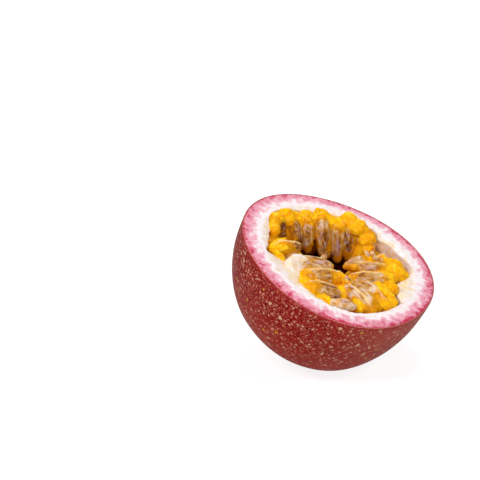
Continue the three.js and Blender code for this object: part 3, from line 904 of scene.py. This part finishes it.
def sacBody(number, sac):
    long, wide = sac["long"], sac["wide"]
    centre = sac["root"] + (long - wide) / 2 * sac["axes"][0]
    halves = np.array([long, wide, wide * sac["flat"]]) / 2
    return {"centre": centre, "half": halves, "taper": sac["taper"], "axes": sac["axes"], "sac": number}


def grains(body, sac):
    # Small lumps of gel that stand out of the plain part of a sac, so many for each 5 mm of it.
    golden = min(1, max(0, sac["film"][0]))
    grain = pulp["grain"]
    found = []
    for index in range(int(grain["count"] * golden * sac["long"] / grain["each"])):
        draws = [uneven(body["sac"] * 53 + index * 7.1 + step) for step in range(3)]
        place = 2 * golden * (0.5 + 0.5 * draws[0]) - 1
        turn = math.pi * draws[1]
        girth = math.sqrt(max(0, 1 - place * place)) * (1 - body["taper"] * place)
        spot = np.array([place, girth * math.cos(turn), girth * math.sin(turn)])
        low, high = grain["size"]
        size = low + (high - low) * (0.5 + 0.5 * draws[2])
        spot = (spot * (body["half"] - grain["sink"] * size)) @ body["axes"] + body["centre"]
        if spot[2] > grain["lowest"]:
            found.append((spot, size * (1 + grain["uneven"] * np.array(draws))))
    return found


def coreBlock():
    radius = half["cutRadius"] - half["wallAtCut"]
    depth = half["domeDepth"] - half["wallAtEnd"]
    top = [(0, pulp["top"])] + [(r, pulp["top"]) for r in np.linspace(0.4, radius - 0.3, pulp["topRows"])]
    side = [p for p in domeSection(radius, depth, pulp["sideRows"]) if p[1] < pulp["top"] - 0.3]
    section = top + side + [(0, -depth)]

    def shape(out, height, angle):
        isTop = (np.arange(len(out)) < len(top) - 1)[:, None]
        body = rounded(out, height, angle, depth)
        body = np.maximum(body - ridgeReach(angle, height) * np.minimum(1, out / radius), 0.01)
        x, y = body * np.cos(angle), body * np.sin(angle)
        surface = np.full(out.shape, pulp["top"])
        for hollow in hollows:
            turn = math.radians(hollow["angle"])
            along = (x * math.cos(turn) + y * math.sin(turn) - hollow["out"]) * hollow["stretch"]
            across = (y * math.cos(turn) - x * math.sin(turn)) / hollow["stretch"]
            level = 1 - (along ** 2 + across ** 2) / hollow["radius"] ** 2
            surface = np.minimum(surface, -hollow["depth"] * np.sqrt(np.maximum(level, 0)))
        return body, np.where(isTop, surface, height)

    return turned(section, pulp["sides"], shape)


def pulpPiece():
    sacs = sacList()
    bodies = [sacBody(number, sac) for number, sac in enumerate(sacs)]
    base, baseFaces = ball(4)
    small, smallFaces = ball(2)
    blocks = [coreBlock()]
    for body, sac in zip(bodies, sacs):
        swell = pulp["swell"] * lumps(base * body["half"], pulp["swellSize"], body["sac"] + 0.37)
        shape = base * (1 + swell)[:, None]
        shape[:, 1:] *= 1 - body["taper"] * shape[:, :1]
        blocks.append(((shape * body["half"]) @ body["axes"] + body["centre"], baseFaces))
        blocks += [(small * size + spot, smallFaces) for spot, size in grains(body, sac)]
    points, faces = joined(blocks)
    mesh = remeshed("pulp", toMesh("pulp", points, faces), pulp["voxel"], pulp["smoothings"])
    fitPulp(mesh, sacs, bodies)
    return addPiece("pulp", mesh, juiceMaterial(), "pulp", "pulp")


def bodyPlace(points, body):
    # Where the points are in a sac, from -1 to 1 each way, and how far off its skin they are.
    local = (points - body["centre"]) @ body["axes"].T / body["half"]
    local[:, 1:] /= (1 - body["taper"] * np.clip(local[:, :1], -1, 1))
    level = np.linalg.norm(local, axis=1)
    slope = np.linalg.norm(local / body["half"], axis=1)
    return local, level * (level - 1) / np.maximum(slope, 1e-6)


def gelLumps(points, size):
    # Torn gel has lumps that meet in creases. Gives 0 in a crease and 1 on a lump, and how each
    # lump leans.
    grid = points / size
    cell = np.floor(grid)
    nearest = np.full(len(grid), 9.0)
    second = np.full(len(grid), 9.0)
    lean = np.zeros(len(grid))
    for corner in itertools.product((-1, 0, 1), repeat=3):
        key = (cell + corner) @ scatterWay
        draws = np.stack([scattered(key * scale) for scale in (1.0, 1.3, 1.7, 2.1, 2.7, 3.1)], axis=1)
        away = grid - (cell + corner + 0.05 + 0.9 * draws[:, :3])
        distance = np.linalg.norm(away, axis=1)
        lean = np.where(distance < nearest, np.sum(away * (draws[:, 3:] - 0.5), axis=1), lean)
        second = np.minimum(second, np.maximum(nearest, distance))
        nearest = np.minimum(nearest, distance)
    return ramp(second - nearest, 0, 0.6), lean


def fitPulp(mesh, sacs, bodies):
    points = pointsOf(mesh)
    found = [bodyPlace(points, body) for body in bodies]
    distances = np.array([distance for place, distance in found])
    owner = np.argmin(distances, axis=0)
    place = np.array([place for place, distance in found])[owner, np.arange(len(points))]
    along, across, over = (place[:, 0] + 1) / 2, place[:, 1], place[:, 2]
    ranked = np.sort(distances, axis=0)[:2]

    def ofSac(name):
        return np.array([sac[name] for sac in sacs])[owner]

    # The film's outline is a rounded square round the seed, torn at the edge, where edge is near 1.
    film = ofSac("film")
    middle, reach = film.mean(axis=1), np.maximum((film[:, 1] - film[:, 0]) / 2, 0.01)
    edge = (np.abs((along - middle) / reach) ** 2.5 + np.abs(across / ofSac("cover")) ** 2.5) ** 0.4
    edge += 0.35 * lumps(points, 1.7, 4) + 0.25 * lumps(points, 0.7, 5)
    film = ramp(edge, *pulp["filmSpan"]) * ramp(ranked[0], 1.3, 0.7)
    halo = ramp(edge, *pulp["haloSpan"]) * ramp(ranked[0], 1.8, 0.9)
    crest = np.abs(across - ofSac("crest") - 0.12 * lumps(points, 2.2, 8))
    crest = ramp(crest, pulp["crestWidth"], 0.0)
    crest *= ramp(along, 0.05, 0.25) * ramp(along, 1.0, 0.85) * (over > 0)
    stretched = place * (1.3, 3.6, 3.6) + 3.7 * owner[:, None]
    folds = 1 - 2 * np.abs(lumps(stretched, 1.0, 2))
    spot = ramp(np.hypot((along - middle - 0.06) / (0.7 * reach + 0.05), (across - 0.1) / 0.7), 1.2, 0.4)
    # The seed's tone, with painted light: the film is painted paler along the ridges of its folds.
    shade = ofSac("shade") + ofSac("spot") * spot + 0.24 * lumps(points, 1.5, 9) - 0.1 * folds

    # Large and small lumps stand out of the gel, and folds and the crest out of the film; the crest is also
    # painted pale as a highlight.
    relief, creaseShade = np.zeros(len(points)), np.zeros(len(points))
    bend = np.stack([lumps(points, 2.6, seed) for seed in (11, 12, 13)], axis=1)
    bent = points + pulp["lumpBend"] * bend
    for share in (1, 0.4):
        crease, lean = gelLumps(bent, pulp["lumpSize"] * share)
        relief += share * (pulp["lumpRelief"] * (crease - 0.6) + pulp["lumpLean"] * lean)
        # The creases between gel lumps, where shade is painted.
        creaseShade += share * (1 - crease) * (1 - film)
    relief *= 1 - film
    relief += pulp["foldRelief"] * folds * film + pulp["crestRelief"] * crest
    points = points + normalsOf(mesh) * (relief * ramp(points[:, 2], *pulp["plainBelow"]))[:, None]
    setPoints(mesh, points)

    # Painted shade: darker between neighbouring sacs and lower down in the pulp.
    betweenShade = ramp(ranked[1] - ranked[0], 0.6, 0.0) * ramp(points[:, 2], 1.2, -2.5)
    low = ramp(points[:, 2] + 0.8 * lumps(points, 2.5, 7), *pulp["lowSpan"])
    fields = {"film": film, "halo": halo, "shade": shade, "crest": crest, "creaseShade": creaseShade, "spot": spot}
    fields["sacPlace"] = place * (2.0, 2.6, 2.6) + 3.7 * owner[:, None]
    fields["creviceShade"] = np.clip(0.45 * betweenShade + 0.9 * low, 0, 1)
    # Painted shade deep in the hollow, a mask that also makes it rough and without coat.
    fields["holeShade"] = ramp(points[:, 2] + film, *pulp["holeShadeSpan"])
    for name, values in fields.items():
        setField(mesh, name, values)


# ---- the studio: pale floor, white surround and soft lamps

studio = {
    "floor": "#8c8c8c",
    "floorGlow": (0.2, 0.85),
    "floorSize": 3.0,
    "surround": 0.2,
    "lamps": [
        {"from": (-0.55, -0.55, 0.75), "size": 0.20, "watts": 3.8},
        {"from": (-0.30, -0.55, 0.85), "size": 0.04, "watts": 1.5},
        {"from": (0.60, -0.40, 0.70), "size": 0.20, "watts": 3.0},
        {"from": (0.05, 0.25, 0.90), "size": 0.40, "watts": 3.6},
        {"from": (-0.10, -0.95, 0.14), "size": 0.60, "watts": 3.0},
    ],
}
camera = {"place": (1.564, -366.97, 170.32), "down": 20.352, "aside": 4.2135, "lens": 108.6}


def studioSet():
    corners = np.array([(-1, -1, 0), (1, -1, 0), (1, 1, 0), (-1, 1, 0)]) * studio["floorSize"]
    floorMesh = toMesh("floor", corners, [(0, 1, 2, 3)])
    material, tree = newMaterial("backlitAcrylicTable")
    seen = addNode(tree, "LightPath", {"take": "Is Camera Ray"})
    glow = remap(tree, seen, (0.0, 1.0), studio["floorGlow"])
    shader = {"Base Color": linear(studio["floor"]), "Roughness": 0.7}
    shader.update({"Emission Color": (1, 1, 1, 1), "Emission Strength": glow})
    floorMesh.materials.append(finishMaterial(material, tree, shader))
    floor = bpy.data.objects.new("floor", floorMesh)
    bpy.context.scene.collection.objects.link(floor)

    world = bpy.data.worlds.new("surround")
    world.use_nodes = True
    tree = world.node_tree
    tree.nodes.clear()
    seen = addNode(tree, "LightPath", {"take": "Is Camera Ray"})
    strength = remap(tree, seen, (0.0, 1.0), (studio["surround"], 1.0))
    light = addNode(tree, "Background", {"Color": (1, 1, 1, 1), "Strength": strength})
    addNode(tree, "OutputWorld", {"Surface": light})
    bpy.context.scene.world = world

    middle = Vector(half["cutCentre"]) * mm
    for number, lamp in enumerate(studio["lamps"]):
        data = bpy.data.lights.new(f"softbox{number + 1}", "AREA")
        data.shape = "SQUARE"
        data.size = lamp["size"]
        data.energy = lamp["watts"]
        softbox = bpy.data.objects.new(data.name, data)
        softbox.location = lamp["from"]
        softbox.rotation_euler = (middle - softbox.location).to_track_quat("-Z", "Y").to_euler()
        bpy.context.scene.collection.objects.link(softbox)

    data = bpy.data.cameras.new("camera")
    data.lens = camera["lens"]
    data.sensor_width = 36
    data.clip_start = 0.01
    eye = bpy.data.objects.new("camera", data)
    eye.location = Vector(camera["place"]) * mm
    eye.rotation_euler = (math.radians(90 - camera["down"]), 0, math.radians(camera["aside"]))
    bpy.context.scene.collection.objects.link(eye)
    bpy.context.scene.camera = eye
    bpy.context.scene.view_settings.view_transform = "Standard"
    print("studio set")


studioSet()
rindPiece()
pithPiece()
lipPiece()
pulpPiece()
